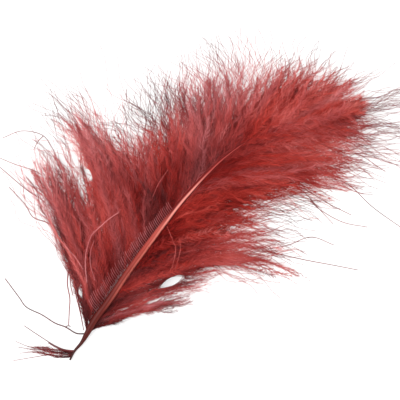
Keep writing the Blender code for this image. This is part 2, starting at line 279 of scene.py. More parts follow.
# The width at a bent blade's joint, as a share of the root's.
JOINT_WIDTH = 0.8
# Where a stem and its barbules lie in their barb's row of the map.
STEM_PLACE, BLADE_PLACE, BLADE_PLACE_SPAN = 0.1, 0.2, 0.6

# The comb of bare roots beside the quill: their number, the stretch of the quill and the longest length in
# millimetres, how much shorter the last is, and the directions in the plan in degrees.
COMB_COUNT = 58
COMB_FROM, COMB_TO = 19.0, 61.0
COMB_LENGTH, COMB_SHORTER = 5.2, 0.45
COMB_LENGTHS = (0.85, 1.15)
COMB_LEAVE, COMB_ARRIVE = 133.0, 112.0
# Their roots, in radii out from the quill's middle and millimetres above it, and the height they rise to.
COMB_OUT, COMB_ABOVE = 0.7, 0.5
COMB_TOP, COMB_RISE = 9.3, 0.8
COMB_TONE, COMB_TONES = 0.6, 0.5
COMB_SHARE = 0.15

# A single strand's barbules, and its share of the way along a barb, at its root and over its length.
STRAND_BARBULES = {"per_mm": 7.0, "width": 0.06, "bent": False, "bare": 0.0, "stand": (0.4, 0.8)}
STRAND_SHARE, STRAND_SHARE_SPAN = 0.2, 0.8

# What the camera takes in: the middle of the view in the plan and its width, in millimetres.
VIEW_MIDDLE_MM = (43.33, 53.33)
VIEW_WIDTH_MM = 133.33
CAMERA_HEIGHT = 0.9
SENSOR_MM = 36.0
CLIP_START = 0.01

# The table and the window, in metres and watts, and the strength of the room's even light.
MIDDLE = (0.06, 0.02)
TABLE_SIZE = 3.0
TABLE_DROP = 0.0002
WINDOW_PLACE = (-0.5, 0.5, 1.1)
WINDOW_SIZE = 0.9
WINDOW_POWER = 22.0
ROOM_LIGHT = 0.75

UP = np.array([0.0, 0.0, 1.0])


def plan_point(x, y):
    """Plan millimetres as metres in the model's frame, for numbers or arrays."""
    x = (np.asarray(x, float) - ORIGIN_MM[0]) * MM
    y = (np.asarray(y, float) - ORIGIN_MM[1]) * MM
    c, s = math.cos(LIE), math.sin(LIE)
    return np.stack([x * c + y * s, y * c - x * s], axis=-1)


def smooth_rows(rows, at):
    """Rows of numbers read at places counted from 0, on a smooth curve through them all."""
    last = len(rows) - 1
    at = np.clip(at, 0.0, last)
    k = np.minimum(at.astype(int), last - 1)
    f = (at - k)[..., None]
    before, here = rows[np.maximum(k - 1, 0)], rows[k]
    there, after = rows[k + 1], rows[np.minimum(k + 2, last)]
    slope_here = (there - before) / np.where(k > 0, 2, 1)[..., None]
    slope_there = (after - here) / np.where(k + 2 <= last, 2, 1)[..., None]
    f2, f3 = f * f, f * f * f
    return (
        (2 * f3 - 3 * f2 + 1) * here
        + (f3 - 2 * f2 + f) * slope_here
        + (3 * f2 - 2 * f3) * there
        + (f3 - f2) * slope_there
    )


def ease(f):
    """0 before 0, 1 after 1, and smooth between."""
    f = np.clip(f, 0.0, 1.0)
    return f * f * (3 - 2 * f)


def eased(values, run):
    """ease() over a run: 0 where it starts, 1 where it ends."""
    start, length = run
    return ease((values - start) / length)


def unit(v):
    """Directions of length 1."""
    return v / np.maximum(np.linalg.norm(v, axis=-1, keepdims=True), 1e-12)


def left_of(way):
    """The plan direction to the left of each plan direction."""
    return np.stack([-way[..., 1], way[..., 0]], axis=-1)


def across_and_over(way):
    """The level direction to the left of each direction, and the one at right angles over both."""
    across = unit(np.cross(UP, way))
    return across, np.cross(way, across)


# The quill's middle line

QUILL_ROWS = np.concatenate([plan_point(QUILL_MM[:, 0], QUILL_MM[:, 1]), QUILL_MM[:, 2:] * MM], axis=1)
QUILL_STEPS = np.linalg.norm(np.diff(QUILL_ROWS[:, :2], axis=0), axis=1)
QUILL_REACHED = np.concatenate([[0.0], np.cumsum(QUILL_STEPS)])
QUILL_LENGTH = QUILL_REACHED[-1]


def quill_at(distance):
    """(x, y, z, radius) at distances along the quill, in metres."""
    place = np.interp(distance, QUILL_REACHED, np.arange(len(QUILL_REACHED), dtype=float))
    return smooth_rows(QUILL_ROWS, place)


def quill_way(distance):
    """The quill's direction at distances along it."""
    step = 0.5 * MM
    return unit(quill_at(distance + step)[..., :3] - quill_at(distance - step)[..., :3])


# Gaps in the down

def in_gap(flat, gap):
    """How far along and across a gap plan points are, in its half lengths and widths, and the way across."""
    x, y, half_length, half_width, direction = gap
    a = math.radians(direction) - LIE
    along = np.array([math.cos(a), math.sin(a)])
    across = np.array([-along[1], along[0]])
    off = flat - plan_point(x, y)
    return off @ along / (half_length * MM), off @ across / (half_width * MM), across


def skirt_gaps(flat):
    """Plan points of barbs, each barb moved to one side of a gap that it would run through.

    A gap narrows to a point at both ends. A barb on its middle line moves to its edge, and others move less
    the further out they are, up to two half widths.
    """
    for gap in GAPS_MM:
        _, _, _, half_width, _ = gap
        u, v, across = in_gap(flat, gap)
        edge = np.clip(1 - u * u, 0.0, 1.0)
        near = np.abs(v) < 2 * edge
        hand = np.where((v * near).sum(axis=1, keepdims=True) >= 0, 1.0, -1.0)
        own = v * hand
        push = np.where(own >= 0, edge - 0.5 * own, edge - own)
        flat = flat + across * (hand * np.where(near, push, 0.0) * half_width * MM)[..., None]
    return flat


def over_gap(points):
    """Whether each point lies over a gap."""
    over = np.zeros(points.shape[:-1], bool)
    for gap in GAPS_MM:
        u, v, _ = in_gap(points[..., :2], gap)
        over |= u * u + np.abs(v) < OPEN_SHARE
    return over


# Barbs

def barb_plan(row, along):
    """Plan points in metres of barbs from their rows of the guide table, at shares of the way along them."""
    start = quill_at(row[..., ROOT] * MM)[..., :2]
    leave = np.radians(row[..., LEAVE]) - LIE
    tip = plan_point(row[..., TIP_X], row[..., TIP_Y])
    arrive = np.radians(row[..., ARRIVE]) - LIE
    third = np.linalg.norm(tip - start, axis=-1, keepdims=True) / 3
    first = start + third * np.stack([np.cos(leave), np.sin(leave)], axis=-1)
    second = tip - third * np.stack([np.cos(arrive), np.sin(arrive)], axis=-1)
    a = along[..., None]
    b = 1 - a
    return b**3 * start + 3 * b * b * a * first + 3 * b * a * a * second + a**3 * tip


def swayed(rng, count, along, sway, growth):
    """How far each of so many barbs, strands or locks bends to the side, in millimetres."""
    share, power = growth
    return rng.normal(0, share * sway, count)[:, None] * (along**power)[None, :]


def waves(rng, count, along, amount, pitches):
    """Smooth wander for each barb, 0 at the root: two sines of random phase and pitch."""
    out = np.zeros((count, len(along)))
    for share in WAVE_SHARES:
        pitch = rng.uniform(*pitches, (count, 1))
        phase = rng.uniform(0, 2 * math.pi, (count, 1))
        out += share * amount * np.sin(pitch * 2 * math.pi * along[None, :] + phase)
    return out * eased(along, WAVE_RUN)[None, :]


def grow_barbs(rng, guides, side, first, last, count, locks, reach, low, high, hair=False, clump=0.55,
               strands=4, sway=1.5, wild=1.6, wander=0.5, loft=8.9, settle=4.2, tone=0.0):
    """Barbs of one stretch of a vane, between two places among its guides, in locks of a few strands.

    side is 1 to the quill's left and -1 to its right. reach is the barbs' length as a share of the thick
    down's, or of the whole guide's for hairs. low and high are their layer between the surface, 0, and the
    top, 1. clump is the share of the way that the barbs of a strand draw together. sway, wild and wander are
    how far, in millimetres, barbs lie to the side at the tip, as strays, and in waves. loft and settle are
    the top's height in millimetres at the root and at the tip.
    """
    along = np.linspace(0, 1, STATIONS)
    place = np.linspace(first, last, count) + rng.normal(0, ROOT_JITTER * (last - first) / count, count)
    edges = np.sort(np.concatenate([[first], rng.uniform(first, last, locks - 1), [last]]))
    lock = np.clip(np.searchsorted(edges, place, side="right") - 1, 0, locks - 1)
    centre = (edges[lock] + edges[lock + 1]) / 2
    strand = lock * strands + rng.integers(0, strands, count)
    shift = rng.uniform(-STRAND_SHIFT, STRAND_SHIFT, locks * strands)[strand]
    shift = shift * (edges[lock + 1] - edges[lock])

    pull = clump * rng.uniform(*PULLS, count)[:, None] * eased(along, PULL_RUN)[None, :]
    row = smooth_rows(guides, place[:, None] + (centre + shift - place)[:, None] * pull)
    thick = row[..., THICK]
    reaches = rng.uniform(*LOCK_REACH, locks)[lock] * rng.uniform(*reach, count)
    share = along[None, :] * reaches[:, None] * (1.0 if hair else thick[:, -1:])
    flat = barb_plan(row, share)

    way = unit(np.gradient(flat, axis=1))
    aside = swayed(rng, locks, along, sway, LOCK_SWAY)[lock]
    aside = aside + swayed(rng, locks * strands, along, sway, STRAND_SWAY)[strand]
    aside = aside + swayed(rng, count, along, sway, BARB_SWAY)
    astray = np.clip(rng.standard_t(STRAY_FREEDOM, count), -STRAY_MOST, STRAY_MOST)[:, None]
    aside = aside + astray * wild * eased(along, STRAY_RUN)[None, :] ** STRAY_POWER
    aside = aside + waves(rng, locks * strands, along, STRAND_WANDER * wander, STRAND_PITCHES)[strand]
    aside = aside + waves(rng, count, along, wander, BARB_PITCHES)
    flat = flat + left_of(way) * (aside * MM)[..., None]
    crossing = hair & (np.arange(count) % CROSSING_EVERY == 0)
    flat = np.where(crossing[:, None, None], flat, skirt_gaps(flat))

    strand_level = rng.uniform(low, high, locks * strands)[strand]
    level = STRAND_LEVEL * strand_level + BARB_LEVEL * rng.uniform(low, high, count)
    level = np.clip(level, LEAST_LEVEL, 1.0)[:, None]
    crown = loft + (settle - loft) * eased(share, SETTLE_RUN)
    spring = smooth_rows(guides, place)[:, ROOT] * MM
    root = quill_at(spring)
    root_z = root[:, 2] - ROOT_BELOW * root[:, 3]
    target = (level * crown + waves(rng, count, along, HEIGHT_WANDER, HEIGHT_PITCHES)) * MM
    rise = eased(along, RISE_RUN)[None, :]
    z = root_z[:, None] * (1 - rise) + target * rise
    z = np.clip(z, STEM_LOWEST * MM, (TOP - STEM_HEADROOM) * MM)
    points = np.concatenate([flat, z[..., None]], axis=-1)
    # The barbs spring from the quill's side, not its middle.
    off = left_of(quill_way(spring)) * (side * ROOT_OUT * root[:, 3])[:, None]
    points[:, :, :2] += off[:, None, :] * (1 - eased(along, SPRING_RUN))[None, :, None]

    whole = crossing | ~over_gap((points[:, 1:] + points[:, :-1]) / 2).any(axis=1)
    beyond = eased(share - thick, FRINGE_RUN)
    edge = eased(share / thick, EDGE_RUN)
    own_tone = tone + rng.normal(0, LOCK_TONES, locks)[lock]
    own_tone = own_tone + rng.normal(0, STRAND_TONES, locks * strands)[strand]
    own_tone = own_tone + rng.normal(0, BARB_TONES, count)
    near_quill = (1 - eased(share, SHADE_RUN)) * (1 - eased(row[..., ROOT], SHADE_END_RUN))
    tones = row[..., TONE] + row[..., TIP_TONE] * edge * (1 - beyond) + own_tone[:, None]
    tones = tones + LEVEL_TONE * (level - LEVEL_MIDDLE) - ROOT_DARK * near_quill
    tones = tones + HAIR_TONE_SHARE * beyond * (HAIR_TONE - tones)
    own_mauve = rng.normal(0, STRAND_MAUVES, locks * strands)[strand] + rng.normal(0, BARB_MAUVES, count)
    mauves = row[..., MAUVE] * (ROOT_MAUVE + EDGE_MAUVE * edge) + own_mauve[:, None] + HAIR_MAUVE * beyond
    barbs = {"points": points, "along": np.broadcast_to(along, share.shape), "share": share,
             "beyond": beyond, "edge": edge, "tones": tones, "mauves": np.clip(mauves, 0.0, 1.0)}
    return {name: values[whole] for name, values in barbs.items()}


class Fibres:
    """One joined mesh of many fine fibres, gathered from arrays."""

    def __init__(self):
        self.points, self.corners, self.sizes, self.values, self.maps = [], [], [], [], []
        self.count = 0

    def add(self, points, faces, values, places):
        """points (n, v, 3) of n alike fibres, faces as lists of local points, values and places by point."""
        n, v, _ = points.shape
        starts = self.count + v * np.arange(n)[:, None]
        corners = np.concatenate([np.asarray(f) for f in faces])
        self.points.append(points.reshape(-1, 3))
        self.corners.append((starts + corners[None, :]).reshape(-1))
        self.sizes.append(np.tile([len(f) for f in faces], n))
        self.values.append(values.reshape(-1, 3))
        self.maps.append(places.reshape(-1, 2)[(starts - self.count + corners[None, :]).reshape(-1)])
        self.count += n * v

    def object(self, name, material):
        points = np.concatenate(self.points)
        corners = np.concatenate(self.corners)
        sizes = np.concatenate(self.sizes)
        mesh = bpy.data.meshes.new(name)
        mesh.vertices.add(len(points))
        mesh.vertices.foreach_set("co", points.astype(np.float32).ravel())
        mesh.loops.add(len(corners))
        mesh.loops.foreach_set("vertex_index", corners.astype(np.int32))
        mesh.polygons.add(len(sizes))
        starts = np.concatenate([[0], np.cumsum(sizes)[:-1]])
        mesh.polygons.foreach_set("loop_start", starts.astype(np.int32))
        mesh.polygons.foreach_set("use_smooth", np.ones(len(sizes), bool))
        values = mesh.attributes.new("growth", "FLOAT_VECTOR", "POINT")
        values.data.foreach_set("vector", np.concatenate(self.values).astype(np.float32).ravel())
        uv = mesh.uv_layers.new(name="OFBake")
        uv.data.foreach_set("uv", np.concatenate(self.maps).astype(np.float32).ravel())
        mesh.update(calc_edges=True)
        obj = bpy.data.objects.new(name, mesh)
        bpy.context.scene.collection.objects.link(obj)
        obj.data.materials.append(material)
        return obj


def tube_faces(sides, stations):
    """The faces of a tube whose points run ring by ring: its two ends, and quads between the rings."""
    faces = [list(range(sides))[::-1], [sides * (stations - 1) + k for k in range(sides)]]
    for j in range(stations - 1):
        for k in range(sides):
            n = (k + 1) % sides
            faces.append([j * sides + k, j * sides + n, (j + 1) * sides + n, (j + 1) * sides + k])
    return faces


def add_stems(fibres, barbs, radius, rows):
    """Each barb's own stem: a thin three-sided tube, from one radius at the root to another at the tip.

    rows are the number of the first barb and of all of them in the piece, for its map.
    """
    points = barbs["points"]
    n, m, _ = points.shape
    across, over = across_and_over(unit(np.gradient(points, axis=1)))
    size = (radius[0] + (radius[1] - radius[0]) * barbs["along"]) * MM
    ring = []
    for k in range(STEM_SIDES):
        a = 2 * math.pi * k / STEM_SIDES + math.pi / 2
        ring.append(points + (across * math.cos(a) + over * math.sin(a)) * size[..., None])
    tube = np.stack(ring, axis=2).reshape(n, m * STEM_SIDES, 3)
    values = np.stack([barbs["share"], barbs["tones"] + STEM_PALER, barbs["mauves"]], axis=-1)
    row = np.broadcast_to((np.arange(n)[:, None] + STEM_PLACE + rows[0]) / rows[1], (n, m))
    places = np.stack([barbs["along"], row], axis=-1)
    values, places = (np.repeat(item, STEM_SIDES, axis=1) for item in (values, places))
    fibres.add(tube, tube_faces(STEM_SIDES, m), values, places)


def add_barbules(fibres, rng, barbs, rows, per_mm, length, width, bent=True, bare=2.0, thin=0.0,
                 stand=(0.35, 0.9)):
    """The fine branches along both sides of each barb: tapering blades that sweep towards its tip.

    bare is the length of naked stem at the root, in millimetres. thin is the share of the blades that the
    down's edge lacks. stand is how far they stand out, as shares of the widest angle. A bent blade has a
    joint half way.
    """
    points = barbs["points"]
    n, m, _ = points.shape
    way = unit(np.gradient(points, axis=1))
    spans = np.linalg.norm(np.diff(points, axis=1), axis=-1).sum(axis=1) / MM
    each = int(per_mm * spans.max())
    at = np.linspace(0, 1, each)[None, :] + rng.normal(0, BLADE_JITTER / each, (n, each))
    at = np.clip(at, 0.0, LAST_BLADE)
    station = (np.arange(n)[:, None], (at * (m - 1)).astype(int))
    wanted = (spans / spans.max())[:, None] * (1 - HAIR_LACKS * barbs["beyond"][station])
    keep = rng.random((n, each)) < wanted
    keep &= rng.random((n, each)) > thin * barbs["edge"][station]
    keep &= at * spans[:, None] > bare * rng.uniform(*BARE_LENGTHS, (n, 1))
    own = rng.uniform(*stand, n)
    roll_own = rng.normal(0, BARB_ROLL, n)
    i, k = np.nonzero(keep)
    t = at[i, k]
    j = (t * (m - 1)).astype(int)
    f = t * (m - 1) - j

    def read(values):
        """A barb's values between its stations, at the root of each blade."""
        weight = f[:, None] if values.ndim == 3 else f
        return values[i, j] * (1 - weight) + values[i, j + 1] * weight

    base = read(points)
    ahead = unit(read(way))
    past = read(barbs["beyond"])
    count = len(i)
    hand = np.where(rng.random(count) < 0.5, 1.0, -1.0)
    roll = roll_own[i] + rng.normal(0, BLADE_ROLL, count)
    across, over = across_and_over(ahead)
    out = hand[:, None] * (across * np.cos(roll)[:, None]) + over * np.sin(roll)[:, None]
    swell = eased(t * spans[i], SWELL_RUN) * (1 - TIP_SHORTER * eased(t, TAPER_RUN))
    swell = swell * (1 - HAIR_SHORTER * past)
    long = length * MM * (BLADE_LEAST + (1 - BLADE_LEAST) * swell) * rng.uniform(*BLADE_LENGTHS, count)
    angle = np.radians(WIDEST_ANGLE) * own[i] * rng.uniform(*BLADE_ANGLES, count)
    bend = rng.uniform(*BLADE_BENDS, count)
    first = ahead * np.cos(angle)[:, None] + out * np.sin(angle)[:, None]
    later = ahead * np.cos(angle * bend)[:, None] + out * np.sin(angle * bend)[:, None]
    later[:, 2] += rng.normal(*BLADE_RISE, count)
    later = unit(later)
    middle = base + first * (0.5 * long)[:, None]
    tip = middle + later * (0.5 * long)[:, None]
    middle[:, 2] = np.clip(middle[:, 2], BLADE_MIDDLE_LOWEST * MM, TOP * MM)
    tip[:, 2] = np.clip(tip[:, 2], BLADE_TIP_LOWEST * MM, TOP * MM)
    facing = unit(UP + rng.normal(0, BLADE_TURN, (count, 3)))
    half = unit(np.cross(first, facing)) * (0.5 * width * MM)
    if bent:
        joint = JOINT_WIDTH * half
        blade = np.stack([base - half, base + half, middle - joint, middle + joint, tip], axis=1)
        faces = [[0, 1, 3, 2], [2, 3, 4]]
        fine = np.array([0.0, 0.0, 0.5, 0.5, 1.0])
    else:
        blade = np.stack([base - half, base + half, tip], axis=1)
        faces = [[0, 1, 2]]
        fine = np.array([0.0, 0.0, 1.0])
    clear = ~(over_gap(base) | over_gap((base + tip) / 2) | over_gap(tip))
    fine = np.broadcast_to(fine, (count, len(fine)))
    tone = (read(barbs["tones"]) + rng.normal(0, BLADE_TONES, count))[:, None]
    values = np.stack([fine * 0 + read(barbs["share"])[:, None], tone + BLADE_TIP_PALER * (fine - 0.5),
                       fine * 0 + read(barbs["mauves"])[:, None]], axis=-1)
    row = (i[:, None] + BLADE_PLACE + BLADE_PLACE_SPAN * fine + rows[0]) / rows[1]
    places = np.stack([fine * 0 + t[:, None], row], axis=-1)
    fibres.add(blade[clear], faces, values[clear], places[clear])


def strand_barbs(rng, points_mm, height, tone, mauve):
    """A single strand as a barb of its own, through plan points at about one height."""
    rows = np.array(points_mm, float)
    along = np.linspace(0, 1, STRAND_STATIONS)
    smooth = smooth_rows(rows, along * (len(rows) - 1))
    flat = plan_point(smooth[:, 0], smooth[:, 1])
    z = (height + waves(rng, 1, along, LONE_WANDER * height, LONE_PITCHES)[0]) * MM
    points = np.concatenate([flat, np.maximum(z, STRAND_LOWEST * MM)[:, None]], axis=-1)[None]
    whole = np.ones((1, STRAND_STATIONS))
    return {"points": points, "along": along[None, :],
            "share": along[None, :] * STRAND_SHARE_SPAN + STRAND_SHARE, "beyond": 0 * whole,
            "edge": 0 * whole, "tones": tone * whole, "mauves": mauve * whole}


# Materials

class Value:
    """A socket in a material, with arithmetic that adds the nodes for it."""

    def __init__(self, tree, socket):
        self.tree, self.socket = tree, socket

    def of(self, node):
        return Value(self.tree, node.outputs[0])

    def math(self, operation, *others):
        node = self.tree.nodes.new("ShaderNodeMath")
        node.operation = operation
        for slot, item in zip(node.inputs, (self, *others)):
            plug(self.tree, slot, item)
        return self.of(node)

    def __add__(self, other):
        return self.math("ADD", other)

    def __sub__(self, other):
        return self.math("SUBTRACT", other)

    def __mul__(self, other):
        return self.math("MULTIPLY", other)

    def __rsub__(self, other):
        node = self.tree.nodes.new("ShaderNodeMath")
        node.operation = "SUBTRACT"
        plug(self.tree, node.inputs[0], other)
        plug(self.tree, node.inputs[1], self)
        return self.of(node)

    __radd__ = __add__
    __rmul__ = __mul__


def plug(tree, slot, item):
    """Link a node's input to a value in the material, or set it to a plain number or colour."""
    if isinstance(item, Value):
        tree.links.new(item.socket, slot)
    else:
        slot.default_value = item


# A Mix node's sockets for colours: factor, first and second, and result.
MIX_INPUTS = (0, 6, 7)
MIX_RESULT = 2


class Finish:
    """A new material, its Principled shader, and one way to add any other node."""

    def __init__(self, name, roughness=0.5, **constants):
        self.material = bpy.data.materials.new(name)
        self.material.use_nodes = True
        self.tree = self.material.node_tree
        self.shader = self.tree.nodes["Principled BSDF"]
        self.shader.inputs["Roughness"].default_value = roughness
        for socket, value in constants.items():
            self.shader.inputs[socket.replace("_", " ")].default_value = value

    def node(self, kind, settings=None, output=0, **values):
        """One more node: its settings first, then the values or links of its sockets."""
        node = self.tree.nodes.new("ShaderNode" + kind)
        for name, value in (settings or {}).items():
            if name == "stops":
                ramp = node.color_ramp
                while len(ramp.elements) < len(value):
                    ramp.elements.new(0.5)
                for element, (position, colour) in zip(ramp.elements, value):
                    element.position = position
                    element.color = (*colour, 1.0)
            else:
                setattr(node, name, value)
        for name, value in values.items():
            plug(self.tree, node.inputs[name.replace("_", " ")], value)
        return Value(self.tree, node.outputs[output])

    def growth(self):
        """The three numbers that each point of a fibre carries."""
        carried = self.node("Attribute", {"attribute_name": "growth"}, output="Vector")
        split = self.node("SeparateXYZ", Vector=carried)
        return [Value(self.tree, socket) for socket in split.socket.node.outputs]

    def mix(self, factor, a, b):
        """Two colours, from the first at 0 to the second at 1."""
        node = self.tree.nodes.new("ShaderNodeMix")
        node.data_type = "RGBA"
        for number, item in zip(MIX_INPUTS, (factor, a, b)):
            plug(self.tree, node.inputs[number], (*item, 1.0) if isinstance(item, tuple) else item)
        return Value(self.tree, node.outputs[MIX_RESULT])

    def feed(self, socket, value):
        plug(self.tree, self.shader.inputs[socket], value)


def down_finish():
    """Dyed down: brick red to dusty mauve, deeper or paler from barb to barb and in soft patches."""
    f = Finish("dyed_down", roughness=0.7, Specular_IOR_Level=0.05)
    share, tone, mauve = f.growth()
    patch = f.node("TexNoise", Vector=f.node("TexCoord", output="Object"), Scale=55.0, Detail=3.0)
    depth = 0.5 + 0.19 * tone + 1.0 * (patch - 0.5)
    brick = f.node("ValToRGB", {"stops": [
        (0.0, (0.080, 0.003, 0.003)),
        (0.3, (0.250, 0.013, 0.010)),
        (0.55, (0.450, 0.038, 0.028)),
        (0.8, (0.590, 0.090, 0.072)),
        (1.0, (0.720, 0.190, 0.165)),
    ]}, Fac=depth)
    dusty = f.node("ValToRGB", {"stops": [
        (0.0, (0.050, 0.019, 0.020)),
        (0.35, (0.250, 0.064, 0.067)),
        (0.7, (0.490, 0.133, 0.140)),
        (1.0, (0.660, 0.270, 0.280)),
    ]}, Fac=depth)
    f.feed("Base Color", f.mix(mauve, brick, dusty))
    f.feed("Roughness", 0.62 + 0.2 * share)
    return f.material


def quill_finish():
    """The quill's horn: glossy and dyed deep red at the base, with a painted highlight along one side,
    painted shade elsewhere.
    """
    f = Finish("quill_horn", roughness=0.35, Specular_IOR_Level=0.08)
    along, left, _ = f.growth()
    grain = f.node("CombineXYZ", X=along * 30.0, Y=left * 5.0, Z=0.0)
    lines = f.node("TexNoise", Vector=grain, Scale=1.0, Detail=3.0)
    # The colours along the quill where its painted highlight lies, dark at the base.
    pale = f.node("ValToRGB", {"stops": [
        (0.0, (0.050, 0.014, 0.012)),
        (0.16, (0.130, 0.020, 0.016)),
        (0.24, (0.430, 0.098, 0.075)),
        (0.38, (0.610, 0.160, 0.120)),
        (0.48, (0.700, 0.240, 0.200)),
        (0.55, (0.700, 0.240, 0.200)),
        (0.62, (0.380, 0.060, 0.052)),
        (0.75, (0.320, 0.045, 0.040)),
    ]}, Fac=along + 0.04 * (lines - 0.5))
    # The colours along the quill away from the highlight: its deep red dye, darkened as painted shade.
    deep = f.node("ValToRGB", {"stops": [
        (0.0, (0.032, 0.012, 0.010)),
        (0.10, (0.065, 0.009, 0.007)),
        (0.20, (0.110, 0.013, 0.010)),
        (0.36, (0.270, 0.036, 0.026)),
        (0.42, (0.330, 0.055, 0.042)),
        (0.48, (0.110, 0.008, 0.007)),
        (0.70, (0.150, 0.011, 0.010)),
    ]}, Fac=along)
    # The painted highlight runs down the quill's right, low down further from the middle than higher up.
    smooth = {"interpolation_type": "SMOOTHSTEP"}
    highlight_middle = f.node("MapRange", smooth, Value=along, From_Min=0.35, From_Max=0.50,
                    To_Min=-0.70, To_Max=-0.30)
    off = (left - highlight_middle).math("ABSOLUTE")
    highlight_share = f.node("MapRange", smooth, Value=off + 0.30 * (lines - 0.5),
                        From_Min=0.10, From_Max=0.60, To_Min=1.0, To_Max=0.0)
    f.feed("Base Color", f.mix(highlight_share, deep, pale))
    f.feed("Roughness", 0.25 + 0.3 * lines)
    f.feed("Normal", f.node("Bump", Height=lines, Strength=0.25, Distance=0.0001))
    return f.material


def floor_finish():
    """The pale table, which glows a little, so that the down throws no dark shadow on it."""
    f = Finish("pale_table", roughness=0.9, Emission_Color=(1.0, 1.0, 1.0, 1.0), Emission_Strength=0.66)
    grain = f.node("TexNoise", Vector=f.node("TexCoord", output="Object"), Scale=9.0, Detail=2.0)
    f.feed("Base Color", f.mix(grain, (0.36, 0.36, 0.36), (0.39, 0.39, 0.39)))
    return f.material


# Pieces

def settle_piece(piece):
    """What every piece of the feather says about its body and the node it stands for."""
    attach(piece, BODY)
    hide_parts(NODE)
    return piece


def make_quill(material):
    """The glossy quill: a tapering tube, a little flattened, drawn from its cut tip to its hair-thin end."""
    distance = np.linspace(0.0, QUILL_LENGTH, QUILL_STATIONS)
    row = quill_at(distance)
    across, over = across_and_over(quill_way(distance))
    angle = 2 * math.pi * np.arange(QUILL_SIDES) / QUILL_SIDES
    ring = (
        row[:, None, :3]
        + across[:, None, :] * (np.cos(angle)[None, :] * row[:, 3:])[..., None]
        + over[:, None, :] * (QUILL_FLATNESS * np.sin(angle)[None, :] * row[:, 3:])[..., None]
    )
    along = np.repeat(distance / QUILL_LENGTH, QUILL_SIDES)
    left, up, turn = (np.tile(item, QUILL_STATIONS)
                      for item in (np.cos(angle), np.sin(angle), np.arange(QUILL_SIDES) / QUILL_SIDES))
    values = np.stack([along, left, up], axis=-1)
    places = np.stack([along, turn], axis=-1)
    tube = Fibres()
    tube.add(ring.reshape(1, -1, 3), tube_faces(QUILL_SIDES, QUILL_STATIONS), values[None], places[None])
    return settle_piece(tube.object("quill", material))


# The layers of a vane, from the surface up: how many barbs and locks for each guide that the stretch spans,
# how the barbs lie, and their barbules' number to the millimetre, length and width in millimetres, and
# whether they bend.
VANE_LAYERS = [
    {"count": 17, "locks": 1.6, "low": 0.0, "high": 0.5, "reach": (0.74, 1.10), "tone": -0.3, "clump": 0.2,
     "barbules": {"per_mm": 10.0, "length": 3.6, "width": 0.17, "thin": 0.5, "bent": False}},
    {"count": 17, "locks": 1.8, "low": 0.4, "high": 0.9, "reach": (0.70, 1.20), "clump": 0.35,
     "barbules": {"per_mm": 7.0, "length": 3.2, "width": 0.085, "thin": 0.2}},
    {"count": 7, "locks": 1.6, "low": 0.75, "high": 1.0, "reach": (0.40, 0.85), "tone": 0.2, "clump": 0.4,
     "barbules": {"per_mm": 8.0, "length": 2.8, "width": 0.075}},
    {"count": 34, "locks": 2.0, "low": 0.1, "high": 0.9, "reach": (0.76, 1.05), "hair": True, "clump": 0.25,
     "wild": 3.8, "wander": 1.3, "barbules": {"per_mm": 2.0, "length": 1.8, "width": 0.07, "bent": False}},
]
# Fewer hairs stand out on the lower half of the fuller vane.
BASE_LAYERS = [*VANE_LAYERS[:-1], {**VANE_LAYERS[-1], "count": 24}]
# The guides lie close together at the far tip, so fewer hairs grow for each.
TIP_LAYERS = [*VANE_LAYERS[:-1], {**VANE_LAYERS[-1], "count": 13, "reach": (0.84, 1.04), "clump": 0.55,
                                  "wild": 2.0, "wander": 0.8}]
# Long hairs that curl across the others.
CURLS = [
    {"count": 14, "locks": 5.0, "low": 0.1, "high": 0.7, "reach": (0.66, 1.00), "hair": True, "clump": 0.1,
     "wild": 7.0, "wander": 2.0, "barbules": {"per_mm": 1.2, "length": 1.2, "width": 0.06, "bent": False}},
]
CLUMP_LAYERS = [
    {"count": 22, "locks": 4.0, "low": 0.0, "high": 0.8, "reach": (0.74, 0.96), "clump": 0.8,
     "barbules": {"per_mm": 9.0, "length": 2.0, "width": 0.12, "thin": 0.8, "bent": False}},
    {"count": 20, "locks": 4.0, "low": 0.4, "high": 1.0, "reach": (0.72, 1.02), "clump": 0.8,
     "barbules": {"per_mm": 8.0, "length": 1.8, "width": 0.075, "thin": 0.4}},
]
BRUSH_LAYERS = [
    {"count": 18, "locks": 2.0, "low": 0.0, "high": 1.0, "reach": (0.7, 1.08),
     "barbules": {"per_mm": 7.0, "length": 0.8, "width": 0.055, "bare": 0.3, "stand": (0.25, 0.6)}},
]

# The stretches of the two vanes: name, first and last place among the guides, layers.
FULL_STRETCHES = [
    ("full_vane_base", 0.0, 4.0, BASE_LAYERS),
    ("full_vane_low", 4.0, 8.5, BASE_LAYERS),
    ("full_vane_high", 8.5, 12.5, VANE_LAYERS),
    ("full_vane_end", 12.5, 15.5, VANE_LAYERS),
    ("full_vane_tip", 15.5, len(FULL_SIDE) - 1.0, TIP_LAYERS),
]
LEAN_STRETCHES = [
    ("lean_vane_base", 0.0, 3.5, VANE_LAYERS),
    ("lean_vane_middle", 3.5, 7.0, VANE_LAYERS),
    ("lean_vane_end", 7.0, 9.0, VANE_LAYERS),
    ("lean_vane_tip", 9.0, len(LEAN_SIDE) - 1.0, TIP_LAYERS),
]


def make_vane(name, rng, material, guides, side, first, last, layers, **ways):
    """One stretch of a vane, as a piece of its own. ways go to grow_barbs for each of its layers."""
    fibres = Fibres()
    guides_spanned = last - first
    counts = [round(layer["count"] * guides_spanned) for layer in layers]
    done = 0
    for layer, count in zip(layers, counts):
        settings = {**ways, **layer}
        del settings["count"]
        barbules = settings.pop("barbules")
        locks = max(round(settings.pop("locks") * guides_spanned), 1)
        barbs = grow_barbs(rng, guides, side, first, last, count, locks, **settings)
        rows = (done, sum(counts))
        add_stems(fibres, barbs, HAIR_RADIUS if settings.get("hair") else BARB_RADIUS, rows)
        add_barbules(fibres, rng, barbs, rows, **barbules)
        done += count
    return settle_piece(fibres.object(name, material))


